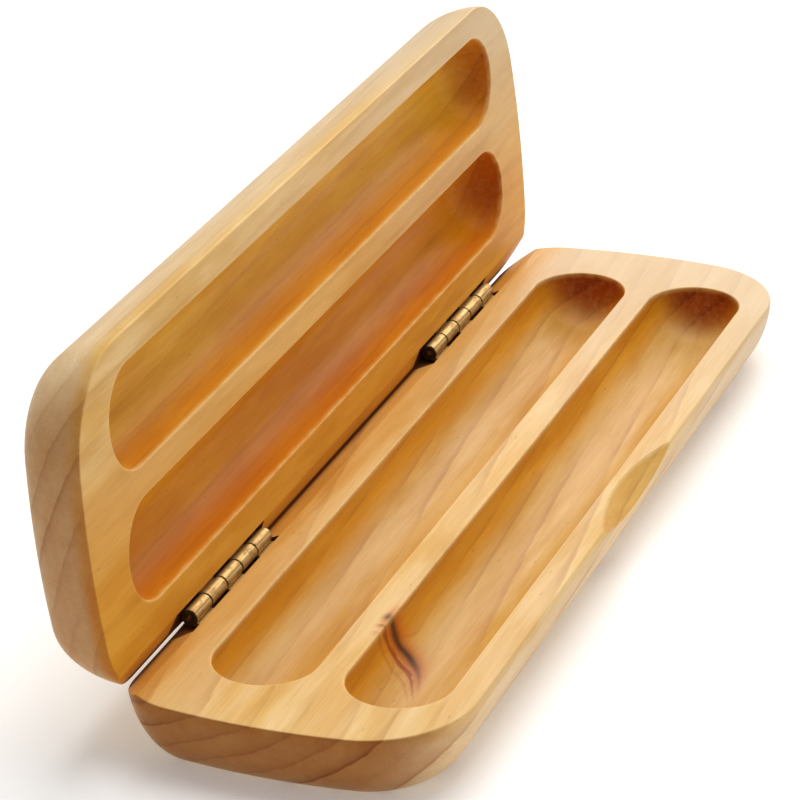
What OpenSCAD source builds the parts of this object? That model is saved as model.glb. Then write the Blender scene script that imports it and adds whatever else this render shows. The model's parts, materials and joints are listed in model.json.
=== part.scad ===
// Double pen case: two wooden halves with routed pen grooves, joined by two small barrel hinges.
// The origin is the centre of the base's flat underside. X runs along the pens, the thumb notch
// is at the front (-Y), the hinges are at the rear (+Y) and Z is up.
// The lid is drawn standing open against its stop, which is how the case rests.

/* [Case] */
// Length of the case, over the bowed ends
case_length = 175; // [168:0.5:190]
// Width of the case, front to rear
case_width = 50.4; // [50:0.2:56]
// Height of one half, from its rim to its flat outside
half_height = 11.4; // [11:0.1:14]
// Corner radius at the front, seen from above
front_corner_r = 16; // [10:0.5:18]
// Corner radius at the hinge side, seen from above
rear_corner_r = 11; // [8:0.5:13]
// Radius of the shallow crown across each end
end_crown_r = 100; // [60:5:200]
// Where the crown stands proudest, measured from the middle towards the hinges
end_crown_y = 1.5; // [0:0.5:3]
// How far the outside draws in between the rim and the flat
side_draw = 6.1; // [3:0.1:6.4]
// Roundness of the outside: 1 is a plain bevel, 2 is a true quarter ellipse
side_roundness = 1.66; // [1.3:0.02:2]
// Opening angle at which the lid meets its stop
open_angle = 95; // [60:1:100]
// Gap between the two rims when the case is shut
rim_gap = 0.2; // [0.1:0.05:0.6]

/* [Pen grooves] */
// Width of one groove, the diameter of the round-nosed cutter
groove_width = 15.7; // [12:0.1:16]
// Length of one groove, end to end
groove_length = 152.8; // [120:0.2:154]
// Depth of one groove below the rim
groove_depth = 8.25; // [8.1:0.05:8.6]
// Distance between the centre lines of the two grooves
groove_pitch = 20.4; // [20:0.1:21]
// Distance of the front groove's centre line from the front edge
front_groove_inset = 12.5; // [12:0.1:12.8]

/* [Hinges] */
// Length of one hinge
hinge_length = 28; // [20:0.5:29]
// Distance between the middles of the two hinges
hinge_spacing = 97.6; // [70:0.2:110]
// How far both hinges sit to the right of their pockets' middles
hinge_shift = 1.3; // [0:0.1:1.5]
// Outer diameter of the hinge barrel
barrel_d = 2.6; // [2.4:0.1:2.8]
// Diameter of the hinge pin
pin_d = 1.2; // [1:0.1:1.3]
// Thickness of the brass leaves
leaf_t = 0.45; // [0.4:0.05:0.5]
// How deep the leaves reach into the wood, from the barrel's centre
leaf_reach = 6.2; // [4.5:0.1:6.6]
// Distance of the hinge line from the rear edge
hinge_inset = 2.3; // [2:0.1:2.6]

/* [Hinge seat] */
// Length of the pocket that each hinge barrel lies in
pocket_length = 32; // [31.5:0.5:36]
// Half the width of the pocket, from the hinge line to its wall
pocket_reach = 2.1; // [1.9:0.05:2.3]
// Depth of the pocket below the rim
pocket_depth = 1.75; // [1.7:0.05:2.2]
// Depth of the bevel along the inner rear edge
bevel_depth = 2.6; // [2.2:0.1:3]

/* [Thumb notch] */
// Length of the notch along the front rim
notch_length = 34; // [20:1:40]
// How far the notch bites into the rim, front to rear
notch_bite = 3.2; // [2:0.1:3.4]
// Slope of the notch's floor, down towards the front
notch_slope = 50; // [40:1:60]

/* [Hidden] */

MAPLE = "burlywood";
BRASS = "goldenrod";
PIN_BRASS = "darkgoldenrod";

half_w = case_width / 2;
half_l = case_length / 2;
axis_y = half_w - hinge_inset;
axis_z = half_height + rim_gap / 2;
front_groove_y = front_groove_inset - half_w;
groove_r = groove_width / 2;
groove_x = groove_length / 2 - groove_r;

groove_facets = 96;      // facets round a groove's ball end
barrel_facets = 48;      // facets round a knuckle, bore or pin
scoop_facets = 128;      // facets round the thumb scoop
rim_land = 0.4;          // straight band under the rim, before the outside starts to round
shell_steps = 10;        // outlines between the rim and the flat
corner_steps = 10;       // points round one corner of the outline
crown_steps = 4;         // points along the crown of one end

knuckles = 5;
knuckle_gap = 0.12;      // play between two knuckles
running_gap = 0.04;      // radial play of the lid's knuckles on the pin
barrel_r = barrel_d / 2;
knuckle_pitch = hinge_length / knuckles;
leaf_sink = 0.05;        // how far the leaf lies above the barrel's lowest line
leaf_front = barrel_r + 0.25;   // where the whole plate starts, clear of the other leaf's knuckles
barb_depth = 0.5;        // teeth on the leaf's hidden edge
barbs = 8;
pin_head = 0.25;         // dome on each end of the pin

left_x = -hinge_spacing / 2;
right_x = hinge_spacing / 2;
over = 1;                // how far cutting shapes run past what they cut

// Arc of points about `centre`, without its last point, which the next arc supplies.
function arc(centre, r, from, to, steps) = [
    for (i = [0:steps - 1])
        let (a = from + (to - from) * i / steps)
        centre + r * [cos(a), sin(a)]
];

// Each end of the outline is three arcs that run into one another: a rear corner, a shallow
// crown and a front corner. Drawing the outline in by `inset` only shortens their radii.
crown_centre = [half_l - end_crown_r, end_crown_y];
rear_y = half_w - rear_corner_r;
front_y = front_corner_r - half_w;
function corner_centre(y, r) =
    [crown_centre.x + sqrt(pow(end_crown_r - r, 2) - pow(y - crown_centre.y, 2)), y];
function crown_angle(centre) = atan2(centre.y - crown_centre.y, centre.x - crown_centre.x);

function right_end(inset) =
    let (
        rear = corner_centre(rear_y, rear_corner_r),
        front = corner_centre(front_y, front_corner_r),
        rear_meet = crown_angle(rear),
        front_meet = crown_angle(front)
    )
    concat(
        arc(front, front_corner_r - inset, -90, front_meet, corner_steps),
        arc(crown_centre, end_crown_r - inset, front_meet, rear_meet, crown_steps),
        arc(rear, rear_corner_r - inset, rear_meet, 90, corner_steps),
        [rear + [0, rear_corner_r - inset]]
    );
function outline(inset) =
    let (end = right_end(inset), last = len(end) - 1)
    concat(end, [for (i = [0:last]) [-end[last - i].x, end[last - i].y]]);

// The outside follows a superellipse from the rim (t = 0) round to the flat (t = 1).
function drawn_in(t) = side_draw * (1 - pow(cos(90 * t), 2 / side_roundness));
function below_rim(t) = rim_land + (half_height - rim_land) * pow(sin(90 * t), 2 / side_roundness);

// One solid half, rim up, standing on its flat: a stack of outlines from the flat to the rim.
module shell_blank() {
    levels = concat(
        [for (i = [shell_steps:-1:0]) let (t = i / shell_steps) [drawn_in(t), half_height - below_rim(t)]],
        [[0, half_height]]
    );
    n = len(outline(0));
    rings = len(levels);
    points = [for (level = levels) each [for (p = outline(level[0])) [p.x, p.y, level[1]]]];
    flat_face = [for (i = [0:n - 1]) i];
    rim_face = [for (i = [n - 1:-1:0]) (rings - 1) * n + i];
    wall_faces = [
        for (ring = [0:rings - 2], i = [0:n - 1])
            let (next = (i + 1) % n)
            [ring * n + i, (ring + 1) * n + i, (ring + 1) * n + next, ring * n + next]
    ];
    polyhedron(points, concat([flat_face, rim_face], wall_faces));
}

// A groove as a round-nosed cutter leaves it: ball ends, a round floor, upright upper walls.
module pen_groove(y) {
    nose = groove_depth - groove_r;
    translate([0, y, half_height - nose]) {
        for (side = [-1, 1])
            translate([side * groove_x, 0, 0]) {
                sphere(r = groove_r, $fn = groove_facets);
                cylinder(r = groove_r, h = nose + over, $fn = groove_facets);
            }
        rotate([0, 90, 0])
            cylinder(r = groove_r, h = 2 * groove_x, center = true, $fn = groove_facets);
        translate([-groove_x, -groove_r, 0])
            cube([2 * groove_x, groove_width, nose + over]);
    }
}

// Bevel along the inner rear edge, so that the halves clear each other as the lid tips back.
module rear_bevel() {
    run = pocket_reach + hinge_inset;
    slope = bevel_depth / run;
    translate([-half_l - over, axis_y - pocket_reach, half_height])
        rotate([90, 0, 90])
            linear_extrude(case_length + 2 * over)
                polygon([[0, 0], [run + over, -slope * (run + over)], [run + over, over], [0, over]]);
}

// Pocket for one hinge barrel, with the saw kerf that its leaf is pressed into.
module hinge_seat(x) {
    translate([x - pocket_length / 2, axis_y - pocket_reach, half_height - pocket_depth])
        cube([pocket_length, pocket_reach + hinge_inset + over, pocket_depth + over]);
    translate([x - pocket_length / 2, axis_y - leaf_reach, leaf_z()])
        cube([pocket_length, leaf_reach, leaf_t]);
}

// Height of the base leaf's lower face.
function leaf_z() = axis_z - barrel_r + leaf_sink;

// A finished half without the thumb notch.
module wooden_half() {
    difference() {
        shell_blank();
        pen_groove(front_groove_y);
        pen_groove(front_groove_y + groove_pitch);
        rear_bevel();
        hinge_seat(left_x);
        hinge_seat(right_x);
    }
}

// Scoop for the thumb: a large cylinder laid across the front rim and tipped down to the front.
module thumb_scoop() {
    sink = notch_bite * sin(notch_slope);
    scoop_r = (pow(notch_length / 2, 2) + pow(sink, 2)) / (2 * sink);
    translate([0, notch_bite - half_w, half_height])
        rotate([90 + notch_slope, 0, 0])
            translate([0, scoop_r, -scoop_r])
                cylinder(r = scoop_r, h = 2 * scoop_r, $fn = scoop_facets);
}

// Turns something drawn on the base into its place on the lid, standing open at the stop.
module on_lid() {
    translate([0, axis_y, axis_z])
        rotate([180 - open_angle, 0, 0])
            mirror([0, 1, 0])
                translate([0, -axis_y, -axis_z])
                    children();
}

// One knuckle with the strip that ties it to the leaf.
module knuckle(index, bore_r) {
    x = index * knuckle_pitch + knuckle_gap / 2;
    span = knuckle_pitch - knuckle_gap;
    difference() {
        union() {
            translate([x, axis_y, axis_z])
                rotate([0, 90, 0])
                    cylinder(r = barrel_r, h = span, $fn = barrel_facets);
            translate([x, axis_y - leaf_front - over, leaf_z()])
                cube([span, leaf_front + over, leaf_t]);
        }
        translate([x - over, axis_y, axis_z])
            rotate([0, 90, 0])
                cylinder(r = bore_r, h = span + 2 * over, $fn = barrel_facets);
    }
}

// Flat plate of a leaf, with teeth on the edge that grips inside the kerf.
module leaf_plate() {
    pitch = hinge_length / barbs;
    teeth = [
        for (i = [0:barbs - 1])
            each [[(barbs - i) * pitch, -leaf_reach + barb_depth], [(barbs - i - 0.5) * pitch, -leaf_reach]]
    ];
    translate([0, axis_y, leaf_z()])
        linear_extrude(leaf_t)
            polygon(concat(
                [[0, -leaf_front], [hinge_length, -leaf_front]],
                teeth,
                [[0, -leaf_reach + barb_depth]]
            ));
}

// A leaf with every second knuckle, starting at `first`.
module leaf(middle, first, bore_r) {
    translate([middle + hinge_shift - hinge_length / 2, 0, 0]) {
        leaf_plate();
        for (i = [first:2:knuckles - 1])
            knuckle(i, bore_r);
    }
}

// Pin through all five knuckles, with a low dome on each end.
module pin(middle) {
    dome_r = (pow(pin_d / 2, 2) + pow(pin_head, 2)) / (2 * pin_head);
    translate([middle + hinge_shift, axis_y, axis_z])
        rotate([0, 90, 0])
            intersection() {
                cylinder(d = pin_d, h = hinge_length + 2 * pin_head, center = true, $fn = barrel_facets);
                union() {
                    cylinder(d = pin_d + over, h = hinge_length, center = true, $fn = barrel_facets);
                    for (side = [-1, 1])
                        translate([0, 0, side * (hinge_length / 2 + pin_head - dome_r)])
                            sphere(r = dome_r, $fn = barrel_facets);
                }
            }
}

module base() {
    color(MAPLE)
        difference() {
            wooden_half();
            thumb_scoop();
        }
}

module lid() {
    color(MAPLE) on_lid() wooden_half();
}

module base_leaf(middle) {
    color(BRASS) leaf(middle, 0, pin_d / 2);
}

module lid_leaf(middle) {
    color(BRASS) on_lid() leaf(middle, 1, pin_d / 2 + running_gap);
}

module hinge_pin(middle) {
    color(PIN_BRASS) pin(middle);
}

base();
lid();
base_leaf(left_x);  // left_hinge_base_leaf
lid_leaf(left_x);  // left_hinge_lid_leaf
hinge_pin(left_x);  // left_hinge_pin
base_leaf(right_x);  // right_hinge_base_leaf
lid_leaf(right_x);  // right_hinge_lid_leaf
hinge_pin(right_x);  // right_hinge_pin
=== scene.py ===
# %% [markdown]
# # A wooden case for two pens
# The real case is cut from two boards of pale hardwood. Each half is shaped outside, routed with two
# grooves inside, sanded and oiled, and two small brass barrel hinges join them. The CAD frame says where
# every piece is and how the lid turns, so this lesson only gives those pieces their finished shapes and
# materials, and never moves the frame.

# %% Load the frame
import json
import math
import bpy
from mathutils import Matrix, Vector


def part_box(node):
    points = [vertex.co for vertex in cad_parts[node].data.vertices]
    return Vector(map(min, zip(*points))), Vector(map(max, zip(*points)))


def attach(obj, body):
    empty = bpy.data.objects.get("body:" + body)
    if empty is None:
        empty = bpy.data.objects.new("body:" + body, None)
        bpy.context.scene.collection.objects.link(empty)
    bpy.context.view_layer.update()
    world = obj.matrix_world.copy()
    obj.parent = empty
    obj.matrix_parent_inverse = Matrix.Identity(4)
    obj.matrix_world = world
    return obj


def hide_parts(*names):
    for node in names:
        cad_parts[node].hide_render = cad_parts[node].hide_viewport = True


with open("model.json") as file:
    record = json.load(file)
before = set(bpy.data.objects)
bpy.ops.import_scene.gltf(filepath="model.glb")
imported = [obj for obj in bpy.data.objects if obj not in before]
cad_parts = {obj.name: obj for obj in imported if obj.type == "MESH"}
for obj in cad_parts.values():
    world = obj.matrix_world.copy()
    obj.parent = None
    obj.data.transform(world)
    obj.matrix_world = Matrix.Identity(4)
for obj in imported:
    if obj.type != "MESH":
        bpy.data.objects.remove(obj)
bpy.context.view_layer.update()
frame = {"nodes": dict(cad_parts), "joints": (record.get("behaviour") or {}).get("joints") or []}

MM = 0.001
print("frame loaded with nodes", sorted(frame["nodes"]))

# %% [markdown]
# ## Sizes
# A maker works from a few lengths: the outside of one half, the cutters that shaped it and the hinge line.
# The outside and the hinge line are read from the frame. The cutters are named here, because a groove is
# easier to make from its cutter than from a box.

# %% Sizes read from the frame
base_low, base_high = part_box("base")
HALF_LENGTH = base_high.x
HALF_WIDTH = -base_low.y
HEIGHT = base_high.z
hinge_joint = frame["joints"][0]
HINGE_LINE = Vector(hinge_joint["pos_m"])
print("half length, half width, height, mm:", [round(v / MM, 2) for v in (HALF_LENGTH, HALF_WIDTH, HEIGHT)])

# %% Sizes of the cutters and of the hinge
FRONT_CORNER, REAR_CORNER = 16 * MM, 11 * MM      # corner radii seen from above
END_CROWN, END_CROWN_Y = 100 * MM, 1.5 * MM       # shallow crown across each end
SIDE_DRAW, SIDE_ROUNDNESS = 6.1 * MM, 1.66        # how the outside curves in to the flat
GROOVE_RADIUS, GROOVE_NOSE = 7.85 * MM, 0.4 * MM  # round-nosed cutter, and how far its round sinks
GROOVE_REACH = 68.55 * MM                         # where the ball ends start, from the middle
GROOVE_Y = (-12.7 * MM, 7.7 * MM)                 # front groove, rear groove
POCKET_X, POCKET_LENGTH = 48.8 * MM, 32 * MM      # the two hinge pockets
POCKET_REACH, POCKET_DEPTH = 2.1 * MM, 1.75 * MM
BEVEL_DEPTH = 2.6 * MM                            # of the bevel, at the rear face
BEVEL_SPARED = 0.52 * MM                          # how much shallower it is between the hinges
BEVEL_BEND = 1.2 * MM                             # radius of the soft bend where it starts
NOTCH_LENGTH, NOTCH_BITE, NOTCH_SLOPE = 34 * MM, 3.2 * MM, math.radians(50)
EDGE = 0.32 * MM                                  # how round sanding left the sharp edges
EDGE_STEPS = 6                                    # facets across a rounded edge
SKIN = 0.01 * MM                                  # keeps the smooth outline inside the frame's box
CLEAR = 2 * MM                                    # how far a cutter sticks out of the wood
OPEN_TURN = math.radians(180 - hinge_joint["range_deg"][1])

# %% [markdown]
# ## A loft
# Nearly every wooden surface here is a stack of closed outlines. A loft joins each outline to the next
# with quads and closes both ends, so the result is watertight and a boolean can cut it cleanly.

# %% Mesh helpers
def new_object(name, points, faces):
    mesh = bpy.data.meshes.new(name)
    mesh.from_pydata([tuple(p) for p in points], [], faces)
    mesh.validate()
    made = bpy.data.objects.new(name, mesh)
    bpy.context.scene.collection.objects.link(made)
    return made


def loft(name, rings, endless=False):
    """Closed mesh through rings of points. With endless, the last ring joins the first."""
    count = len(rings[0])
    points = [p for ring in rings for p in ring]
    faces = []
    pairs = [(r, r + 1) for r in range(len(rings) - 1)]
    if endless:
        pairs.append((len(rings) - 1, 0))
    for a, b in pairs:
        for i in range(count):
            j = (i + 1) % count
            faces.append((a * count + i, a * count + j, b * count + j, b * count + i))
    if not endless:
        faces.append(tuple(reversed(range(count))))
        faces.append(tuple(range((len(rings) - 1) * count, len(rings) * count)))
    return new_object(name, points, faces)


def apply_modifiers(made):
    """Replaces the object's mesh with what its modifiers make of it."""
    graph = bpy.context.evaluated_depsgraph_get()
    mesh = bpy.data.meshes.new_from_object(made.evaluated_get(graph), depsgraph=graph)
    made.modifiers.clear()
    old = made.data
    made.data = mesh
    bpy.data.meshes.remove(old)


def cut(body, cutters, operation="DIFFERENCE"):
    """Cuts body with each cutter in turn, or joins them to it, and throws the cutters away."""
    for cutter in cutters:
        step = body.modifiers.new("cut", "BOOLEAN")
        step.operation = operation
        step.solver = "EXACT"
        step.object = cutter
        apply_modifiers(body)
        bpy.data.objects.remove(cutter)


# %% [markdown]
# ## The outside of one half
# Seen from above, each end is a shallow crown with a large corner at the front and a smaller one at the
# hinge side. Drawing that outline in only shortens the radii of its arcs, so the whole outside is the same
# outline drawn in along a superellipse, from the rim down to the flat.

# %% Outline and outside profile
def arc(centre, radius, start, end, steps):
    """Points of an arc, without its last one, which the next arc gives."""
    turns = [start + (end - start) * i / steps for i in range(steps)]
    return [(centre[0] + radius * math.cos(a), centre[1] + radius * math.sin(a)) for a in turns]


def corner_centre(y, radius, crown):
    return crown[0] + math.sqrt((END_CROWN - radius) ** 2 - (y - crown[1]) ** 2), y


def outline(inset):
    """The case seen from above, drawn in by inset, counterclockwise."""
    inset += SKIN
    crown = (HALF_LENGTH - END_CROWN, END_CROWN_Y)
    rear = corner_centre(HALF_WIDTH - REAR_CORNER, REAR_CORNER, crown)
    front = corner_centre(FRONT_CORNER - HALF_WIDTH, FRONT_CORNER, crown)
    to_front = math.atan2(front[1] - crown[1], front[0] - crown[0])
    to_rear = math.atan2(rear[1] - crown[1], rear[0] - crown[0])
    right = arc(front, FRONT_CORNER - inset, -math.pi / 2, to_front, 28)
    right += arc(crown, END_CROWN - inset, to_front, to_rear, 10)
    right += arc(rear, REAR_CORNER - inset, to_rear, math.pi / 2, 24)
    right.append((rear[0], rear[1] + REAR_CORNER - inset))
    return right + [(-x, y) for x, y in reversed(right)]


def outside_profile(steps=26, rim_band=0.4 * MM):
    """(inset, height) from the flat up to the rim, whose edge is sanded round."""
    levels = []
    for i in range(steps, 0, -1):
        turn = math.pi / 2 * (i / steps)
        inset = SIDE_DRAW * (1 - max(0, math.cos(turn)) ** (2 / SIDE_ROUNDNESS))
        below = rim_band + (HEIGHT - rim_band) * math.sin(turn) ** (2 / SIDE_ROUNDNESS)
        levels.append((inset, HEIGHT - below))
    for i in range(EDGE_STEPS + 1):
        turn = math.pi / 2 * i / EDGE_STEPS
        levels.append((EDGE * (1 - math.cos(turn)), HEIGHT - EDGE * (1 - math.sin(turn))))
    return levels


print("outline points:", len(outline(0)), "outside levels:", len(outside_profile()))

# %% [markdown]
# ## The cutters
# A groove is what a round-nosed router bit leaves when it travels along a line: ball ends, a round floor
# and short upright walls. The cutter here also flares at the rim, which leaves the small rounded edge that
# sandpaper gives. The hinge pockets are plain boxes, and the thumb notch is a large cylinder tipped down to
# the front. The inner rear edge is planed to a bevel, so that the lid can lean past upright. Between the
# hinges less is planed off, and the two bevels nearly meet there when the case is open.

# %% Groove cutter
def stadium(centre_y, reach, radius, height, steps=36):
    """Outline of a slot: two half circles joined by straight sides."""
    right = arc((reach, centre_y), radius, -math.pi / 2, math.pi / 2, steps)
    right.append((reach, centre_y + radius))
    return [(x, y, height) for x, y in right] + [(-x, y, height) for x, y in reversed(right)]


def groove_cutter(centre_y, nose_steps=24):
    """Stack of slots from the lowest point of the cutter's nose up to its flare above the rim."""
    levels = []
    for i in range(1, nose_steps + 1):
        turn = math.pi / 2 * i / nose_steps
        levels.append((GROOVE_RADIUS * math.sin(turn), -GROOVE_NOSE - GROOVE_RADIUS * math.cos(turn)))
    flare = 1.04 * EDGE                               # ends just above the rim, so that the rim is cut
    for i in range(EDGE_STEPS + 1):
        turn = math.pi / 2 * i / EDGE_STEPS
        levels.append((GROOVE_RADIUS + flare * (1 - math.cos(turn)), -EDGE + flare * math.sin(turn)))
    levels.append((levels[-1][0], 1 * MM))
    return loft("groove_cutter", [stadium(centre_y, GROOVE_REACH, r, HEIGHT + z) for r, z in levels])


# %% Bevel, pocket and notch cutters
def bevel_section(depth):
    """What is planed off the inner rear edge, starting with a soft bend beside the hinge pockets' walls."""
    pocket_wall = HINGE_LINE.y - POCKET_REACH
    slope = math.atan2(depth, HALF_WIDTH - pocket_wall)
    start = pocket_wall - BEVEL_BEND * math.tan(slope / 2)
    lift = 0.002 * MM                                 # keeps the start out of the rim's own plane
    section = [(start, 1 * MM)]
    for i in range(EDGE_STEPS + 1):
        turn = slope * i / EDGE_STEPS
        section.append((start + BEVEL_BEND * math.sin(turn), lift - BEVEL_BEND * (1 - math.cos(turn))))
    run = 8 * MM                                      # far enough to leave the rear face
    last_y, last_z = section[-1]
    section.append((last_y + run, last_z - run * math.tan(slope)))
    section.append((last_y + run, 1 * MM))
    return section


def bevel_cutter():
    """The whole bevel. Its depth changes inside the hinge pockets, where the change is cut away."""
    past_end = HALF_LENGTH + CLEAR
    pocket_out = POCKET_X + 0.4 * POCKET_LENGTH
    pocket_in = POCKET_X - 0.4 * POCKET_LENGTH
    spared = BEVEL_DEPTH - BEVEL_SPARED
    stations = [(-past_end, BEVEL_DEPTH), (-pocket_out, BEVEL_DEPTH), (-pocket_in, spared),
                (pocket_in, spared), (pocket_out, BEVEL_DEPTH), (past_end, BEVEL_DEPTH)]
    return loft("bevel_cutter", [[(x, y, HEIGHT + z) for y, z in bevel_section(d)] for x, d in stations])


def box_cutter(name, low, high):
    corners = [(low[0], low[1]), (high[0], low[1]), (high[0], high[1]), (low[0], high[1])]
    return loft(name, [[(x, y, z) for x, y in corners] for z in (low[2], high[2])])


def pocket_cutter(x):
    wall = HINGE_LINE.y - POCKET_REACH
    return box_cutter(
        "pocket_cutter",
        (x - POCKET_LENGTH / 2, wall, HEIGHT - POCKET_DEPTH),
        (x + POCKET_LENGTH / 2, HALF_WIDTH + CLEAR, HEIGHT + CLEAR),
    )


def notch_cutter(steps=256):
    """Cylinder whose side bites the notch's length and depth out of the front edge."""
    sink = NOTCH_BITE * math.sin(NOTCH_SLOPE)
    radius = ((NOTCH_LENGTH / 2) ** 2 + sink ** 2) / (2 * sink)
    turns = [2 * math.pi * i / steps for i in range(steps)]
    circle = [(radius * math.cos(a), radius * math.sin(a)) for a in turns]
    made = loft("notch_cutter", [[(x, y, along) for x, y in circle] for along in (0, 2 * radius)])
    side_at_origin = Matrix.Translation((0, radius, -radius))
    tipped = Matrix.Rotation(math.pi / 2 + NOTCH_SLOPE, 4, "X")
    made.data.transform(Matrix.Translation((0, NOTCH_BITE - HALF_WIDTH, HEIGHT)) @ tipped @ side_at_origin)
    return made


# %% [markdown]
# ## The two halves
# Both halves come from the same shaping, and only the base has the notch. The lid is made face up like the
# base, then its mesh is mirrored about the hinge line and the object is turned to where the frame has it
# at rest. Its own coordinates therefore stay those of the board, which the grain follows.

# %% Shape one half
def wooden_half(name, with_notch):
    rings = [[(x, y, z) for x, y in outline(inset)] for inset, z in outside_profile()]
    half = loft(name, rings)
    cutters = [groove_cutter(y) for y in GROOVE_Y]
    cutters.append(bevel_cutter())
    cutters += [pocket_cutter(side * POCKET_X) for side in (-1, 1)]
    if with_notch:
        cutters.append(notch_cutter())
    cut(half, cutters)
    return half


# %% Smooth, turn and settle a piece
def smooth(made, sharp_angle):
    """Smooth shading that keeps sharp edges, with flat faces staying flat."""
    made.data.shade_smooth()
    made.data.set_sharp_from_angle(angle=math.radians(sharp_angle))
    weigh = made.modifiers.new("weighted normals", "WEIGHTED_NORMAL")
    weigh.keep_sharp = True
    weigh.weight = 100


def onto_lid(made):
    """Mirrors a mesh made face up like the base and turns its object to the lid's place at rest."""
    made.data.transform(Matrix.Scale(-1, 4, (0, 1, 0)) @ Matrix.Translation(-HINGE_LINE))
    made.data.flip_normals()
    made.matrix_world = Matrix.Translation(HINGE_LINE) @ Matrix.Rotation(OPEN_TURN, 4, "X")


def settle(made, body, node):
    """Says which body the piece rides on, and hides the CAD node it stands for."""
    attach(made, body)
    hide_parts(node)
    print(made.name, "faces:", len(made.data.polygons))


# %% Make both halves
WOOD_CREASE, BRASS_CREASE = 32, 40                # edges bent more than this stay sharp, in degrees
base_wood = wooden_half("base_wood", with_notch=True)
lid_wood = wooden_half("lid_wood", with_notch=False)
onto_lid(lid_wood)
for half, node in ((base_wood, "base"), (lid_wood, "lid")):
    smooth(half, WOOD_CREASE)
    settle(half, node, node)

# %% [markdown]
# ## The hinges
# Each hinge is two leaves of sheet brass, whose ends are rolled round a pin. Five knuckles share the pin:
# the first, third and fifth belong to the base and the others to the lid. A knuckle is a ring of brass with
# a thin seam where the roll closes, and its edges are tumbled round. The leaf runs from under the knuckle
# into a saw kerf in the wood, where its toothed edge grips.

# %% Hinge sizes and where each hinge is
KNUCKLES, KNUCKLE_GAP = 5, 0.12 * MM
BARREL_RADIUS, PIN_RADIUS = 1.3 * MM, 0.6 * MM
LEAF_THICK, LEAF_REACH = 0.45 * MM, 6.2 * MM
LEAF_UNDER = BARREL_RADIUS - 0.05 * MM            # the leaf's lower face, below the hinge line
LEAF_FRONT = BARREL_RADIUS + 0.25 * MM            # where the plate ends, before the hinge line
STRIP_LAP, STRIP_REACH = 0.5 * MM, 0.3 * MM       # a strip's overlap with the plate and with its knuckle
TEETH, TOOTH_DEPTH = 8, 0.5 * MM                  # along the leaf's hidden edge
TUMBLED = 0.16 * MM                               # how round the knuckles' edges are
SEAM_DEPTH, SEAM_TURN, SEAM_HALF = 0.08 * MM, 2.5, 0.06   # depth, place and half width (radians)
PIN_DOME = 0.25 * MM
FIXED_FIT, TURNING_FIT = 0.01 * MM, 0.04 * MM     # room round the pin in the base's and the lid's knuckles
hinge_ends = {}
for side in ("left", "right"):
    low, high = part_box(side + "_hinge_base_leaf")
    hinge_ends[side] = (low.x, high.x)
print("hinge ends, mm:", {side: [round(v / MM, 2) for v in ends] for side, ends in hinge_ends.items()})


# %% Knuckle, leaf and pin
def turned_ring(radius, x, seam_depth=0.0, steps=72):
    """Circle round the hinge line at x, with a shallow groove where the rolled sheet meets itself."""
    points = []
    for i in range(steps):
        turn = 2 * math.pi * i / steps
        r = radius - seam_depth * math.exp(-((turn - SEAM_TURN) / SEAM_HALF) ** 2)
        points.append((x, HINGE_LINE.y + r * math.cos(turn), HINGE_LINE.z + r * math.sin(turn)))
    return points


def knuckle(start, end, bore, steps=4):
    """Ring of brass with rounded outer edges, open through the middle."""
    turns = [math.pi / 2 * i / steps for i in range(steps + 1)]
    rounding = [(TUMBLED * (1 - math.sin(t)), TUMBLED * (1 - math.cos(t))) for t in turns]
    first = [turned_ring(BARREL_RADIUS - sink, start + along, SEAM_DEPTH) for sink, along in rounding]
    last = [turned_ring(BARREL_RADIUS - sink, end - along, SEAM_DEPTH) for sink, along in reversed(rounding)]
    rings = [turned_ring(bore, start)] + first + last + [turned_ring(bore, end)]
    return loft("knuckle", rings, endless=True)


def leaf(name, start, end, first_knuckle, bore):
    """A leaf's plate with teeth on its hidden edge, joined to every second knuckle by a strip."""
    pitch = (end - start) / KNUCKLES
    tooth = (end - start) / TEETH
    low = HINGE_LINE.z - LEAF_UNDER
    front = HINGE_LINE.y - LEAF_FRONT
    tips = HINGE_LINE.y - LEAF_REACH
    section = []
    for i in range(TEETH):
        section.append((start + tooth * i, tips + TOOTH_DEPTH))
        section.append((start + tooth * (i + 0.5), tips))
    section += [(end, tips + TOOTH_DEPTH), (end, front), (start, front)]
    plate = loft(name, [[(x, y, z) for x, y in section] for z in (low, low + LEAF_THICK)])
    joined = []
    for i in range(first_knuckle, KNUCKLES, 2):
        left = start + i * pitch + KNUCKLE_GAP / 2
        right = start + (i + 1) * pitch - KNUCKLE_GAP / 2
        joined.append(box_cutter("strip", (left + TUMBLED, front - STRIP_LAP, low),
                                 (right - TUMBLED, HINGE_LINE.y - STRIP_REACH, low + LEAF_THICK)))
        joined.append(knuckle(left, right, bore))
    cut(plate, joined, "UNION")
    return plate


def pin(name, start, end, steps=6):
    """Drawn wire with a low dome on each end, whose very top stays a small flat."""
    flat_top = 0.05
    turns = [flat_top + math.pi / 2 * i / steps for i in range(steps)]
    caps = [(PIN_RADIUS * math.sin(t), PIN_DOME * math.cos(t)) for t in turns] + [(PIN_RADIUS, 0.0)]
    rings = [turned_ring(radius, start - out, steps=48) for radius, out in caps]
    rings += [turned_ring(radius, end + out, steps=48) for radius, out in reversed(caps)]
    return loft(name, rings)


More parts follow.
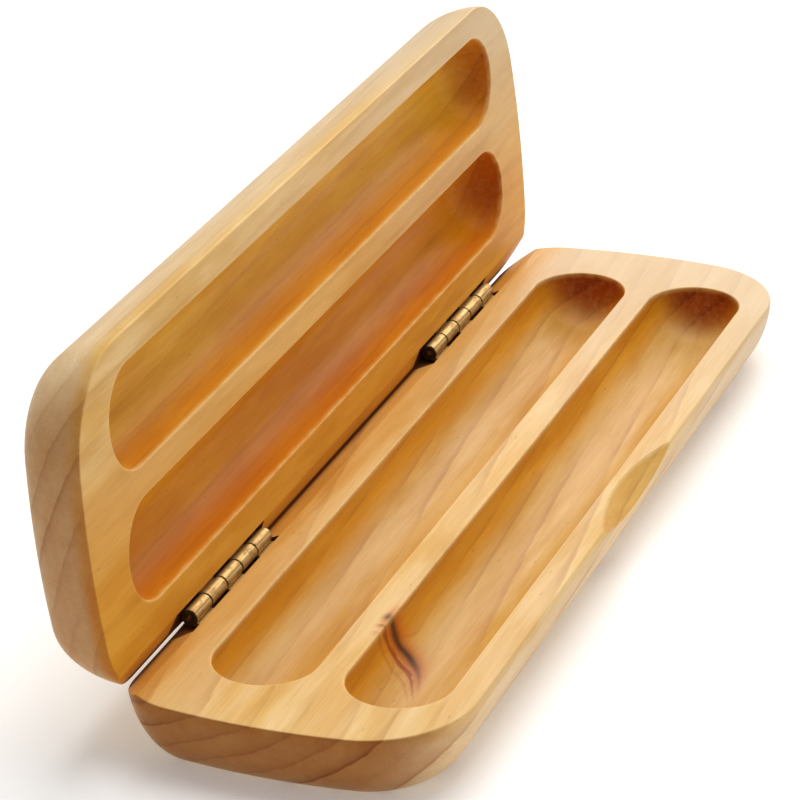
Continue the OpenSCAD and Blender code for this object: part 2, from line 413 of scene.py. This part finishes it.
# %% Both hinges
for side, (start, end) in hinge_ends.items():
    base_leaf = leaf(side + "_base_leaf_brass", start, end, 0, PIN_RADIUS + FIXED_FIT)
    lid_leaf = leaf(side + "_lid_leaf_brass", start, end, 1, PIN_RADIUS + TURNING_FIT)
    wire = pin(side + "_pin_brass", start, end)
    onto_lid(lid_leaf)
    for made, body, node, finish in (
        (base_leaf, "base", side + "_hinge_base_leaf", "hinge_brass"),
        (lid_leaf, "lid", side + "_hinge_lid_leaf", "hinge_brass"),
        (wire, "base", side + "_hinge_pin", "hinge_pin"),
    ):
        smooth(made, BRASS_CREASE)
        settle(made, body, node)

# %% [markdown]
# ## Building materials from nodes
# Wood is solid: its rings, fibres and pores run right through the board, and a cut face only shows where it
# crosses them. A material that is worked out from the board's own coordinates does the same, so the grain
# runs along the rim, turns to end grain at both ends and follows the round of the grooves by itself. The
# small class below adds nodes and links them, so that a recipe reads like arithmetic. A mask is a number
# from 0 to 1 that says how much of an effect a spot gets, and most masks are a soft step between two limits.


# %% Node helpers
class Recipe:
    """Adds nodes to a tree. An input is a socket to link or a plain value to set."""

    def __init__(self, tree):
        self.tree = tree

    def node(self, kind, inputs=None, **settings):
        made = self.tree.nodes.new("ShaderNode" + kind)
        for name, value in settings.items():
            setattr(made, name, value)
        for name, value in (inputs or {}).items():
            if isinstance(value, bpy.types.NodeSocket):
                self.tree.links.new(value, made.inputs[name])
            else:
                made.inputs[name].default_value = value
        return made

    def math(self, operation, *values):
        return self.node("Math", dict(enumerate(values)), operation=operation).outputs[0]

    def product(self, first, *others):
        for other in others:
            first = self.math("MULTIPLY", first, other)
        return first

    def opposite(self, mask):
        return self.math("SUBTRACT", 1.0, mask)

    def bell(self, value, sharpness):
        """One where value is 0, falling off on both sides."""
        return self.math("EXPONENT", self.product(value, value, -sharpness))

    def vector(self, operation, *values):
        made = self.node("VectorMath", dict(enumerate(values)), operation=operation)
        return made.outputs["Value" if operation in ("LENGTH", "DOT_PRODUCT") else "Vector"]

    def parts(self, vector):
        return self.node("SeparateXYZ", {0: vector}).outputs[:]

    def join(self, x, y, z):
        return self.node("CombineXYZ", {0: x, 1: y, 2: z}).outputs[0]

    def noise(self, vector, scale=1.0, detail=2.0, roughness=0.5):
        settings = {"Vector": vector, "Scale": scale, "Detail": detail, "Roughness": roughness}
        return self.node("TexNoise", settings).outputs["Fac"]

    def smooth(self, value, low, high, to_low=0.0, to_high=1.0):
        made = self.node("MapRange", {0: value, 1: low, 2: high, 3: to_low, 4: to_high},
                         interpolation_type="SMOOTHSTEP")
        return made.outputs[0]

    def falling(self, value, low, high):
        return self.smooth(value, low, high, 1.0, 0.0)

    def mix(self, share, a, b, blend="MIX"):
        made = self.node("Mix", {0: share, 6: a, 7: b}, data_type="RGBA", blend_type=blend)
        return made.outputs[2]

    def coat(self, colour, mask, over, share):
        """Covers colour with another where the mask is, by that share."""
        return self.mix(self.product(mask, share), colour, over)

    def stain(self, colour, mask, tint):
        """Multiplies colour by a tint where the mask is."""
        return self.mix(mask, colour, self.mix(1.0, colour, tint, "MULTIPLY"))

    def stretched(self, position, along, across):
        """Position scaled so that a noise of size 1 is along by across millimetres."""
        return self.vector("DIVIDE", position, (along, across, across))

    def in_mm(self, position):
        made = self.vector("SCALE", position)
        made.node.inputs["Scale"].default_value = 1 / MM
        return made

    def place(self, tree, **inputs):
        """Puts a node group here, with its inputs set by name. An underscore stands for a space."""
        made = self.tree.nodes.new("ShaderNodeGroup")
        made.node_tree = tree
        for name, value in inputs.items():
            socket = made.inputs[name.replace("_", " ")]
            if isinstance(value, bpy.types.NodeSocket):
                self.tree.links.new(value, socket)
            else:
                socket.default_value = value
        return made.outputs


def new_group(name, inputs, outputs):
    """A node group with named sockets: inputs maps a name to its default, outputs is a list of names."""
    tree = bpy.data.node_groups.new(name, "ShaderNodeTree")
    for socket_name, default in inputs.items():
        kind = "NodeSocketVector" if isinstance(default, tuple) else "NodeSocketFloat"
        made = tree.interface.new_socket(socket_name, in_out="INPUT", socket_type=kind)
        made.default_value = default
    for socket_name in outputs:
        tree.interface.new_socket(socket_name, in_out="OUTPUT", socket_type="NodeSocketFloat")
    return tree, Recipe(tree), tree.nodes.new("NodeGroupInput").outputs, tree.nodes.new("NodeGroupOutput")


def give(recipe, leave, **values):
    """Links each value to the group output of that name."""
    for name, value in values.items():
        recipe.tree.links.new(value, leave.inputs[name.replace("_", " ")])


def paint(red, green, blue):
    """Linear colour from the 0 to 255 values that a colour picker shows."""
    def linear(v):
        v /= 255
        return v / 12.92 if v <= 0.04045 else ((v + 0.055) / 1.055) ** 2.4
    return (linear(red), linear(green), linear(blue), 1.0)


print("helpers:", [name for name in vars(Recipe) if not name.startswith("_")])

# %% [markdown]
# ## Growth rings
# A board is sawn from a trunk far larger than itself, so its rings are nearly flat sheets that lean across
# the board and run almost along it. The group measures the distance from the heart of the trunk, bends it
# with noise, and darkens a thin line at the end of each year's growth. No two years are alike, so noise that
# only changes from year to year says how strong the line is and how warm the wood.

# %% Growth rings group
RING_WIDTH = 4.0                                  # mm from one year to the next
SLOW_BEND, QUICK_BEND = 4.0, 0.9                  # how far the noises bend the rings, in mm
SOFT_START, LINE_START, LINE_FULL, LINE_END = 0.35, 0.78, 0.94, 0.995   # parts of a year
LINE_SHARE, SOFT_SHARE = 0.42, 0.45               # darkness of the line and of the wood before it
growth_rings, make, enter, leave = new_group(
    "Growth rings",
    {"Position": (0.0, 0.0, 0.0), "Heart": (0.0, 0.0, 0.0), "Ring Width": RING_WIDTH, "Run Out": 0.1,
     "Bulge": 0.0, "Contrast": 1.0},
    ["Line", "Year"],
)
x, y, z = make.parts(make.vector("SUBTRACT", enter["Position"], enter["Heart"]))
y = make.math("SUBTRACT", y, make.product(x, enter["Run Out"]))
slow = make.noise(make.stretched(enter["Position"], 110.0, 26.0), detail=1.0)
quick = make.noise(make.stretched(enter["Position"], 16.0, 2.5), detail=4.0, roughness=0.6)
quick_bend = make.product(make.math("SUBTRACT", quick, 0.5), QUICK_BEND)
bend = make.math("MULTIPLY_ADD", make.math("SUBTRACT", slow, 0.5), SLOW_BEND, quick_bend)
from_heart = make.math("SQRT", make.math("ADD", make.product(y, y), make.product(z, z)))
distance = make.math("ADD", bend, make.math("ADD", from_heart, enter["Bulge"]))
years = make.math("DIVIDE", distance, enter["Ring Width"])
year = make.math("FLOOR", years)
season = make.math("FRACT", years)
line_comes = make.smooth(season, LINE_START, LINE_FULL)
dark_line = make.product(line_comes, make.falling(season, LINE_FULL, LINE_END))
soft_side = make.product(make.smooth(season, SOFT_START, 0.95), make.falling(season, 0.95, 1.0))
late = make.math("MULTIPLY_ADD", dark_line, LINE_SHARE, make.product(soft_side, SOFT_SHARE))
print("group:", growth_rings.name)

# %% How strong and how light each year is
fade = make.noise(make.join(make.product(x, 0.045), make.product(year, 7.3), 0.0), detail=1.0)
strength = make.smooth(fade, 0.30, 0.62, 0.12, 1.0)
lightness = make.noise(make.join(make.product(year, 3.7), make.product(x, 0.012), 5.0), detail=0.0)
give(make, leave, Line=make.product(late, enter["Contrast"], strength), Year=lightness)
print("outputs:", [socket.name for socket in leave.inputs if socket.name])

# %% [markdown]
# ## Fibres and pores
# Between the rings the wood is a bundle of fibres as fine as hair, with pores that show as short dark
# dashes along the grain and as dots on end grain. Both are noise squeezed across the grain and stretched
# along it.

# %% Fibre group
RARE_PORE, EVERY_PORE = 0.93, 0.96                # only cells whose random colour is above these get a pore
wood_fibre, make, enter, leave = new_group(
    "Wood fibre",
    {"Position": (0.0, 0.0, 0.0), "Length": 9.0, "Thickness": 0.24},
    ["Streak", "Pore", "Cloud"],
)
fibre_size = make.join(enter["Length"], enter["Thickness"], enter["Thickness"])
scaled = make.vector("DIVIDE", enter["Position"], fibre_size)
fine = make.noise(scaled, detail=3.0, roughness=0.65)
broad = make.noise(make.vector("MULTIPLY", scaled, (0.5, 0.16, 0.16)), detail=2.0)
streak = make.math("MULTIPLY_ADD", fine, 0.6, make.product(broad, 0.4))
in_cells = make.vector("MULTIPLY", scaled, (2.6, 0.5, 0.5))
cells = make.node("TexVoronoi", {"Vector": in_cells, "Scale": 1.0, "Randomness": 1.0})
chosen = make.smooth(make.parts(cells.outputs["Color"])[0], RARE_PORE, EVERY_PORE)
dash = make.falling(cells.outputs["Distance"], 0.05, 0.22)
cloud = make.noise(make.stretched(enter["Position"], 26.0, 5.0), detail=3.0)
give(make, leave, Streak=streak, Pore=make.product(dash, chosen), Cloud=cloud)
print("group:", wood_fibre.name)

# %% [markdown]
# ## Where the board was cut
# Oil soaks deeper into the ends of the fibres, so faces that cut across the grain turn browner, and at the
# ends of the grooves they also get painted shade. The cutter leaves the same faces a little rough at the
# ends of the grooves, and handling rubs the lips of the grooves paler, with a painted highlight on top. The
# outside and the thumb notch are paler too, and the right end gets a painted glare from the light beyond
# it. The hinge pockets and the last of the bevel get dark painted shade, and the wood beside the hinges a
# warm painted bounce light from the other half. This group turns the board's coordinates and the surface's
# own direction into those masks, and into the masks of the grooves' insides and steep walls, where painted
# shade goes. It measures a groove as the distance to the line that its cutter travelled. The two limits of
# each soft step are in mm for a distance, and from 0 to 1 for a direction, where 1 faces straight up or
# along the grain.

# %% Routed board group, and distances in mm
routed_board, make, enter, leave = new_group(
    "Routed board",
    {"Position": (0.0, 0.0, 0.0), "Facing": (0.0, 0.0, 1.0), "Rim Height": HEIGHT / MM,
     "Front Groove": GROOVE_Y[0] / MM, "Rear Groove": GROOVE_Y[1] / MM,
     "Groove Radius": GROOVE_RADIUS / MM, "Groove Reach": GROOVE_REACH / MM,
     "Groove Depth": (GROOVE_RADIUS + GROOVE_NOSE) / MM,
     "Hinge Line": HINGE_LINE.y / MM, "Rear Sign": 1.0, "Hinge Reach": 9.0,
     "Pocket Middle": POCKET_X / MM, "Pocket Half": POCKET_LENGTH / 2 / MM,
     "Pocket Reach": POCKET_REACH / MM},
    ["End Grain", "Lip", "Inside", "Steep", "Outside", "Scoop", "Fuzz", "Hinge Side", "Faded", "Unsanded"],
)
x, y, z = make.parts(enter["Position"])
facing = make.parts(enter["Facing"])
across_grain, upward = make.math("ABSOLUTE", facing[0]), facing[2]
from_middle = make.math("ABSOLUTE", x)
past_end = make.math("MAXIMUM", make.math("SUBTRACT", from_middle, enter["Groove Reach"]), 0.0)
to_line = []
for groove in ("Front Groove", "Rear Groove"):
    sideways = make.math("SUBTRACT", y, enter[groove])
    to_line.append(make.vector("LENGTH", make.join(past_end, sideways, 0.0)))
to_groove = make.math("SUBTRACT", make.math("MINIMUM", *to_line), enter["Groove Radius"])
below_rim = make.math("SUBTRACT", enter["Rim Height"], z)
behind = make.product(make.math("SUBTRACT", y, enter["Hinge Line"]), enter["Rear Sign"])
print("group:", routed_board.name)

# %% Masks of the grooves
steep = make.falling(upward, 0.35, 0.85)
end_grain = make.smooth(across_grain, 0.25, 0.95)
under_floor = make.smooth(make.math("SUBTRACT", below_rim, enter["Groove Depth"]), 0.4, 1.4)
inside = make.product(make.falling(to_groove, -0.05, 0.25), make.smooth(below_rim, 0.1, 0.9),
                      make.opposite(under_floor))
# The paler lips are partly rubbed wear and partly a painted highlight along their rounded edge.
near_lip = make.product(make.falling(make.math("ABSOLUTE", to_groove), 0.1, 0.75),
                        make.falling(below_rim, 0.25, 1.1))
rubbed = make.noise(make.vector("MULTIPLY", enter["Position"], (0.35, 0.5, 0.5)), detail=3.0)
lip = make.product(near_lip, make.smooth(rubbed, 0.35, 0.65, 0.25, 1.0))
hairs = make.noise(make.vector("MULTIPLY", enter["Position"], (0.6, 1.1, 1.1)), detail=4.0, roughness=0.6)
fuzz = make.product(end_grain, inside, make.smooth(hairs, 0.45, 0.62))
give(make, leave, End_Grain=end_grain, Lip=lip, Inside=inside, Steep=steep, Fuzz=fuzz)
print("masks of the grooves given")

# %% Masks of the outside, the notch and the hinge side
outside = make.product(make.smooth(to_groove, 0.4, 1.5), make.smooth(below_rim, 0.5, 3.0))
outside = make.product(make.math("MAXIMUM", outside, under_floor), make.falling(upward, 0.15, 0.5))
sloping = make.product(make.smooth(upward, 0.4, 0.5), make.falling(upward, 0.75, 0.84))
scoop = make.product(sloping, make.smooth(to_groove, 0.4, 1.0), make.smooth(below_rim, 0.15, 0.5))
# Painted bounce light: the rim near the hinge line is tinted warm, as if lit by light bounced off the other
# half.
nearness = make.smooth(make.math("DIVIDE", behind, enter["Hinge Reach"]), -1.0, -0.1)
hinge_side = make.product(nearness, make.opposite(outside))
# Painted glare: the wood is painted paler towards the right end, where the far light grazes it.
to_right_end = make.smooth(x, 0.0, 85.0)
faded = make.product(to_right_end, make.opposite(inside), make.opposite(hinge_side))
give(make, leave, Outside=outside, Scoop=scoop, Hinge_Side=hinge_side, Faded=faded)
print("masks of the outside given")

# %% Mask of the painted shade in the pockets and the seam
from_centre = make.math("ABSOLUTE", make.math("SUBTRACT", from_middle, enter["Pocket Middle"]))
from_pocket = make.math("SUBTRACT", from_centre, enter["Pocket Half"])
past_wall = make.math("ADD", behind, enter["Pocket Reach"])
above_outside = make.falling(below_rim, 2.5, 2.8)
pocket = make.product(make.falling(from_pocket, 0.02, 0.12), make.smooth(past_wall, -0.06, 0.0),
                      make.smooth(below_rim, 0.06, 0.3), above_outside)
seam = make.product(make.smooth(behind, 0.7, 1.5), above_outside)
give(make, leave, Unsanded=make.math("MAXIMUM", pocket, seam))
print("outputs:", [socket.name for socket in leave.inputs if socket.name])

# %% [markdown]
# ## The knot
# A small branch once grew where the front groove's rear wall now is, near the left end. Cut lengthwise it
# shows as a dark thread that drops from the rim down the wall and sweeps along the floor, with reddish
# stripes beside it. The group follows that line in the board and fades it out at both ends.

# %% Spike knot group
KNOT_SPREAD = 2.4                                 # mm from the thread to the stripes, and the rings' bulge
spike_knot, make, enter, leave = new_group(
    "Spike knot",
    {"Position": (0.0, 0.0, 0.0), "Line X": -51.8, "Bend Y": -7.2, "Sweep": 0.37,
     "Start Y": -3.0, "End Y": -11.6},
    ["Core", "Halo", "Stripes"],
)
x, y, z = make.parts(enter["Position"])
past_bend = make.math("MAXIMUM", make.math("SUBTRACT", enter["Bend Y"], y), 0.0)
swept = make.product(past_bend, past_bend, enter["Sweep"])
line_x = make.math("SUBTRACT", enter["Line X"], swept)
wobble = make.noise(make.vector("MULTIPLY", enter["Position"], (0.35, 0.35, 0.35)), detail=2.0)
straight_off = make.math("SUBTRACT", x, line_x)
off_line = make.math("MULTIPLY_ADD", make.math("SUBTRACT", wobble, 0.5), 1.2, straight_off)
starts = make.falling(make.math("SUBTRACT", y, enter["Start Y"]), -1.6, 0.0)
ends = make.smooth(make.math("SUBTRACT", y, enter["End Y"]), 0.0, 2.6)
there = make.product(starts, ends)
core = make.product(make.bell(off_line, 0.8), make.smooth(past_bend, 0.0, 3.4, 1.0, 0.35))
halo = make.bell(off_line, 0.09)
beside = make.bell(make.math("ADD", off_line, KNOT_SPREAD), 0.15)
ripple = make.noise(make.vector("MULTIPLY", enter["Position"], (0.8, 0.25, 0.25)), detail=2.0)
wave = make.math("SINE", make.math("MULTIPLY_ADD", ripple, 5.0, make.product(off_line, 2.6)))
stripes = make.product(make.smooth(wave, -0.5, 1.0), beside)
give(make, leave, Core=make.product(core, there), Halo=make.product(halo, there),
     Stripes=make.product(stripes, there))
print("group:", spike_knot.name)

# %% [markdown]
# ## Oiled hardwood
# The finish is a thin satin oil: colour from the wood, a soft gloss from the oil. The colours are mixed in
# layers. First come broad warm and pale clouds, then the paler outside, the year rings, the fibres and the
# pores, and the knot. On top lie the painted shade in the grooves, the painted glare at the right end, the
# notch, the painted bounce light beside the hinges, the end grain with painted shade at the grooves' ends,
# the worn lips with a painted highlight and last the painted shade in the pockets and the seam.

# %% Colours of the wood
WOOD = {
    "gold": paint(225, 179, 98),
    "pale": paint(237, 202, 140),
    "rose": paint(228, 182, 115),
    "late": paint(176, 114, 50),
    # wall is painted shade and bounce light on the grooves' steep walls
    "wall": paint(248, 212, 96),
    "scoop": paint(242, 224, 176),
}
COATS = {                                         # a colour, and how much of what is under it it hides
    "outside": (paint(234, 208, 174), 0.5),
    "pore": (paint(120, 70, 28), 0.5),
    "halo": (paint(206, 104, 30), 0.75),
    "stripes": (paint(150, 58, 22), 0.75),
    "core": (paint(66, 50, 36), 0.9),
    # painted glare towards the right end
    "faded": (paint(212, 186, 150), 0.65),
    "fuzz": (WOOD["pale"], 0.08),
    # lips: rubbed wear with a painted highlight
    "rubbed": (paint(244, 200, 122), 0.45),
    # painted shade in the hinge pockets and the seam between the halves
    "dust": (paint(118, 58, 20), 0.92),
}
FIBRE_DARKEST, FIBRE_LIGHTEST = (0.90, 0.86, 0.80), (1.05, 1.07, 1.10)
print("colours:", len(WOOD) + len(COATS))


# %% Colour of a board
def wood_colour(make, fibre, rings, board, knotted, tints):
    """Mixes the layers. Each argument but make and tints holds the outputs of a group."""
    colour = make.mix(make.smooth(fibre["Cloud"], 0.35, 0.65), WOOD["gold"], WOOD["pale"])
    colour = make.mix(make.smooth(rings["Year"], 0.45, 0.75, 0.0, 0.55), colour, WOOD["rose"])
    colour = make.coat(colour, board["Outside"], *COATS["outside"])
    on_ends = make.math("MULTIPLY_ADD", board["End Grain"], 0.45, 0.5)
    line_share = make.math("MULTIPLY_ADD", board["Outside"], 0.2, on_ends)
    colour = make.mix(make.product(rings["Line"], line_share), colour, WOOD["late"])
    channels = zip(FIBRE_DARKEST, FIBRE_LIGHTEST)
    fibres = {i: make.smooth(fibre["Streak"], 0.25, 0.75, *ends) for i, ends in enumerate(channels)}
    colour = make.mix(1.0, colour, make.node("CombineColor", fibres).outputs[0], "MULTIPLY")
    colour = make.coat(colour, fibre["Pore"], *COATS["pore"])
    if knotted:
        colour = make.coat(colour, knotted["Halo"], *COATS["halo"])
        colour = make.coat(colour, knotted["Stripes"], *COATS["stripes"])
        colour = make.coat(colour, knotted["Core"], *COATS["core"])
    # Painted shade and bounce light in the grooves: deepest on the steep walls, lighter on the floors.
    groove_tint = make.mix(board["Steep"], tints["floor"], WOOD["wall"])
    colour = make.stain(colour, board["Inside"], groove_tint)
    colour = make.coat(colour, board["Faded"], *COATS["faded"])
    colour = make.stain(colour, board["Scoop"], WOOD["scoop"])
    # Painted bounce light from the other half, on the wood beside the hinges.
    colour = make.stain(colour, board["Hinge Side"], tints["hinge side"])
    # At the grooves' ends the end-grain tint is darkened further as painted shade.
    end_tint = make.mix(board["Inside"], tints["outer ends"], tints["groove ends"])
    colour = make.stain(colour, board["End Grain"], end_tint)
    colour = make.coat(colour, board["Fuzz"], *COATS["fuzz"])
    colour = make.coat(colour, board["Lip"], *COATS["rubbed"])
    return make.coat(colour, board["Unsanded"], *COATS["dust"])


# %% Oiled wood material
ROUGH_PORES, SMOOTH_FIBRES = 0.50, 0.40
OIL_SHINE, OIL_COAT, OIL_COAT_ROUGHNESS = 0.16, 0.04, 0.30


def oiled_wood(name, grain, cuts, tints, shift=(0.0, 0.0, 0.0), knot=False):
    """Material of one board. Grain and cuts are settings for the groups Growth rings and Routed board.

    Tints holds the painted shade of the grooves' floors, the painted bounce light beside the hinges, and the
    end-grain stains, which at the grooves' ends also hold painted shade.
    Shift moves the board along its noise, in mm.
    """
    material = bpy.data.materials.new(name)
    material.use_nodes = True
    tree = material.node_tree
    make = Recipe(tree)
    shader = tree.nodes["Principled BSDF"]
    coordinates = make.node("TexCoord")
    position = make.in_mm(coordinates.outputs["Object"])
    moved = make.vector("ADD", position, shift)
    knotted = make.place(spike_knot, Position=position) if knot else None
    bulge = make.product(knotted["Halo"], KNOT_SPREAD) if knot else 0.0
    rings = make.place(growth_rings, Position=moved, Bulge=bulge, **grain)
    fibre = make.place(wood_fibre, Position=moved)
    board = make.place(routed_board, Position=position, Facing=coordinates.outputs["Normal"], **cuts)
    colour = wood_colour(make, fibre, rings, board, knotted, tints)
    tree.links.new(colour, shader.inputs["Base Color"])

    rough = make.smooth(fibre["Streak"], 0.3, 0.7, ROUGH_PORES, SMOOTH_FIBRES)
    for mask, more in (("End Grain", 0.16), ("Fuzz", 0.12), ("Unsanded", 0.45)):
        rough = make.math("ADD", rough, make.product(board[mask], more))
    tree.links.new(rough, shader.inputs["Roughness"])
    relief = make.math("MULTIPLY_ADD", fibre["Streak"], 0.7, make.product(fibre["Pore"], -0.7))
    relief = make.math("MULTIPLY_ADD", rings["Line"], 0.25, relief)
    relief = make.math("MULTIPLY_ADD", board["Fuzz"], 0.8, relief)
    bump = make.node("Bump", {"Height": relief, "Strength": 0.35, "Distance": 0.05 * MM})
    tree.links.new(bump.outputs["Normal"], shader.inputs["Normal"])
    shader.inputs["Specular IOR Level"].default_value = OIL_SHINE
    shader.inputs["Coat Weight"].default_value = OIL_COAT
    shader.inputs["Coat Roughness"].default_value = OIL_COAT_ROUGHNESS
    return material


# %% The two boards
base_finish = oiled_wood(
    "oiled_base_board",
    grain={"Heart": (0.0, 120.0, 170.0), "Run_Out": 0.10, "Contrast": 0.9},
    cuts={"Hinge_Line": HINGE_LINE.y / MM, "Rear_Sign": 1.0, "Hinge_Reach": 9.0},
    # floor is painted shade in the grooves; painted bounce is painted light from the lid near the hinges
    tints={"floor": paint(236, 226, 200), "hinge side": paint(248, 224, 172),
           # groove ends: end-grain stain darkened with painted shade
           "outer ends": paint(186, 144, 100), "groove ends": paint(180, 118, 66)},
    knot=True,
)
lid_finish = oiled_wood(
    "oiled_lid_board",
    grain={"Heart": (0.0, -20.0, 120.0), "Run_Out": 0.03, "Contrast": 0.5},
    cuts={"Rim_Height": (HEIGHT - HINGE_LINE.z) / MM, "Front_Groove": (HINGE_LINE.y - GROOVE_Y[0]) / MM,
          "Rear_Groove": (HINGE_LINE.y - GROOVE_Y[1]) / MM,
          "Hinge_Line": 0.0, "Rear_Sign": -1.0, "Hinge_Reach": 48.0},
    # floor is painted shade in the lid's grooves; painted bounce is painted light and shade near the hinges
    tints={"floor": paint(255, 236, 108), "hinge side": paint(254, 219, 118),
           "outer ends": paint(214, 188, 164), "groove ends": paint(220, 196, 160)},
    shift=(37.0, 19.0, 8.0),
)
base_wood.data.materials.append(base_finish)
lid_wood.data.materials.append(lid_finish)
print("materials:", base_finish.name, lid_finish.name)

# %% [markdown]
# ## Rolled brass
# Small hinges are sold bright and soon dull. Rolling and tumbling leave fine scratches round the barrel,
# fingers and air leave brown patches, and dirt gathers in the gaps between the knuckles. The gap mask is
# worked out from the distance along the barrel.

# %% Tarnish group
hinge_start, hinge_end = hinge_ends["left"]
KNUCKLE_PITCH = (hinge_end - hinge_start) / KNUCKLES / MM
tarnish, make, enter, leave = new_group(
    "Tarnish",
    {"Position": (0.0, 0.0, 0.0), "Start X": 0.0, "Pitch": KNUCKLE_PITCH},
    ["Patches", "Seam Dirt", "Scratches"],
)
x, y, z = make.parts(enter["Position"])
along = make.math("DIVIDE", make.math("SUBTRACT", x, enter["Start X"]), enter["Pitch"])
past_gap = make.math("ABSOLUTE", make.math("SUBTRACT", along, make.math("ROUND", along)))
to_gap = make.product(past_gap, enter["Pitch"])
grime = make.noise(make.vector("MULTIPLY", enter["Position"], (2.0, 2.0, 2.0)), detail=3.0)
patches = make.noise(make.vector("MULTIPLY", enter["Position"], (0.45, 1.1, 1.1)), detail=3.0, roughness=0.6)
round_barrel = make.vector("MULTIPLY", enter["Position"], (9.0, 1.2, 1.2))
scratches = make.noise(round_barrel, detail=3.0, roughness=0.7)
dirty = make.falling(make.math("ADD", to_gap, make.product(grime, 0.25)), 0.16, 0.5)
give(make, leave, Patches=make.smooth(patches, 0.42, 0.68), Seam_Dirt=dirty, Scratches=scratches)
print("group:", tarnish.name)


# %% Rolled brass material
def rolled_brass(name, start_x, bright, dull, roughness):
    """Brass of one hinge, whose barrel starts at start_x."""
    material = bpy.data.materials.new(name)
    material.use_nodes = True
    tree = material.node_tree
    make = Recipe(tree)
    shader = tree.nodes["Principled BSDF"]
    position = make.in_mm(make.node("TexCoord").outputs["Object"])
    worn = make.place(tarnish, Position=position, Start_X=start_x / MM)
    colour = make.coat(bright, worn["Patches"], dull, 0.6)
    colour = make.coat(colour, worn["Seam Dirt"], paint(52, 30, 14), 0.85)
    tree.links.new(colour, shader.inputs["Base Color"])
    shader.inputs["Metallic"].default_value = 1.0
    rough = roughness
    for mask, more in (("Patches", 0.12), ("Seam Dirt", 0.3), ("Scratches", 0.12)):
        rough = make.math("MULTIPLY_ADD", worn[mask], more, rough)
    tree.links.new(rough, shader.inputs["Roughness"])
    bump = make.node("Bump", {"Height": worn["Scratches"], "Strength": 0.25, "Distance": 0.02 * MM})
    tree.links.new(bump.outputs["Normal"], shader.inputs["Normal"])
    return material


for side, (start, end) in hinge_ends.items():
    leaf_brass = rolled_brass(side + "_rolled_brass", start, paint(216, 180, 116), paint(156, 112, 56), 0.42)
    wire_brass = rolled_brass(side + "_drawn_brass", start, paint(170, 128, 70), paint(96, 60, 30), 0.34)
    for piece in ("_base_leaf_brass", "_lid_leaf_brass"):
        bpy.data.objects[side + piece].data.materials.append(leaf_brass)
    bpy.data.objects[side + "_pin_brass"].data.materials.append(wire_brass)
print("brass on", sorted(hinge_ends))

# %% [markdown]
# ## Camera, floor and light
# The case lies on a plain pale table in a bright studio. A soft light hangs over it, and a stronger card
# beyond the right end brightens the rims and leaves the left ends in shade, which a weak card at the front
# fills. The table glows a little, as a lit sweep of paper does. A long lens from low on the left keeps the
# far end nearly as large as the near one.

# %% Camera
AZIMUTH, ELEVATION, ROLL = math.radians(-68.09), math.radians(25.0), math.radians(-1.65)
DISTANCE = 621.0 * MM
SENSOR_WIDTH, LENS = 36.0, 172.7
AIM = HINGE_LINE + Vector((17.58, -2.06, 0)) * MM
back = Vector((math.sin(AZIMUTH) * math.cos(ELEVATION), -math.cos(AZIMUTH) * math.cos(ELEVATION),
               math.sin(ELEVATION)))
right = Vector((0, 0, 1)).cross(back).normalized()
up = back.cross(right)
tilted_right = right * math.cos(ROLL) + up * math.sin(ROLL)
tilted_up = up * math.cos(ROLL) - right * math.sin(ROLL)
camera = bpy.data.objects.new("camera", bpy.data.cameras.new("camera"))
bpy.context.scene.collection.objects.link(camera)
camera.data.sensor_width = SENSOR_WIDTH
camera.data.lens = LENS
turn = Matrix((tilted_right, tilted_up, back)).transposed().to_4x4()
camera.matrix_world = Matrix.Translation(AIM + back * DISTANCE) @ turn
camera.data.clip_start = 0.05
bpy.context.scene.camera = camera
print("camera at, mm:", [round(v / MM) for v in camera.location])


# %% Light and floor
def soft_light(name, place, size, power):
    """Round soft light that points at the middle of the case."""
    lamp = bpy.data.lights.new(name, "AREA")
    lamp.shape = "DISK"
    lamp.size = size
    lamp.energy = power
    made = bpy.data.objects.new(name, lamp)
    made.location = place
    made.rotation_euler = (-Vector(place)).to_track_quat("-Z", "Y").to_euler()
    bpy.context.scene.collection.objects.link(made)


AIR_COLOUR, AIR_STRENGTH = (1.0, 0.98, 0.95, 1.0), 0.34
TABLE_COLOUR, TABLE_REACH = (0.94, 0.94, 0.94, 1.0), 3
TABLE_GLOW, TABLE_GLOW_STRENGTH = (1.0, 0.99, 0.97, 1.0), 0.17
world = bpy.data.worlds.new("studio")
bpy.context.scene.world = world
world.use_nodes = True
world.node_tree.nodes["Background"].inputs["Color"].default_value = AIR_COLOUR
world.node_tree.nodes["Background"].inputs["Strength"].default_value = AIR_STRENGTH
soft_light("overhead", (0.15, 0.02, 0.80), 0.7, 4.2)
soft_light("far_card", (1.10, 0.05, 0.55), 0.9, 7.5)
soft_light("front_card", (0.35, -1.00, 0.45), 0.9, 1.2)
reach = TABLE_REACH
floor = new_object("floor", [(-reach, -reach, 0), (reach, -reach, 0), (reach, reach, 0), (-reach, reach, 0)],
                   [(0, 1, 2, 3)])
table_top = bpy.data.materials.new("pale_table")
table_top.use_nodes = True
paper = table_top.node_tree.nodes["Principled BSDF"]
paper.inputs["Base Color"].default_value = TABLE_COLOUR
paper.inputs["Roughness"].default_value = 0.9
paper.inputs["Emission Color"].default_value = TABLE_GLOW
paper.inputs["Emission Strength"].default_value = TABLE_GLOW_STRENGTH
floor.data.materials.append(table_top)
bpy.context.scene.view_settings.view_transform = "Standard"

# %% [markdown]
# The finished pieces have to stay inside the frame's box.
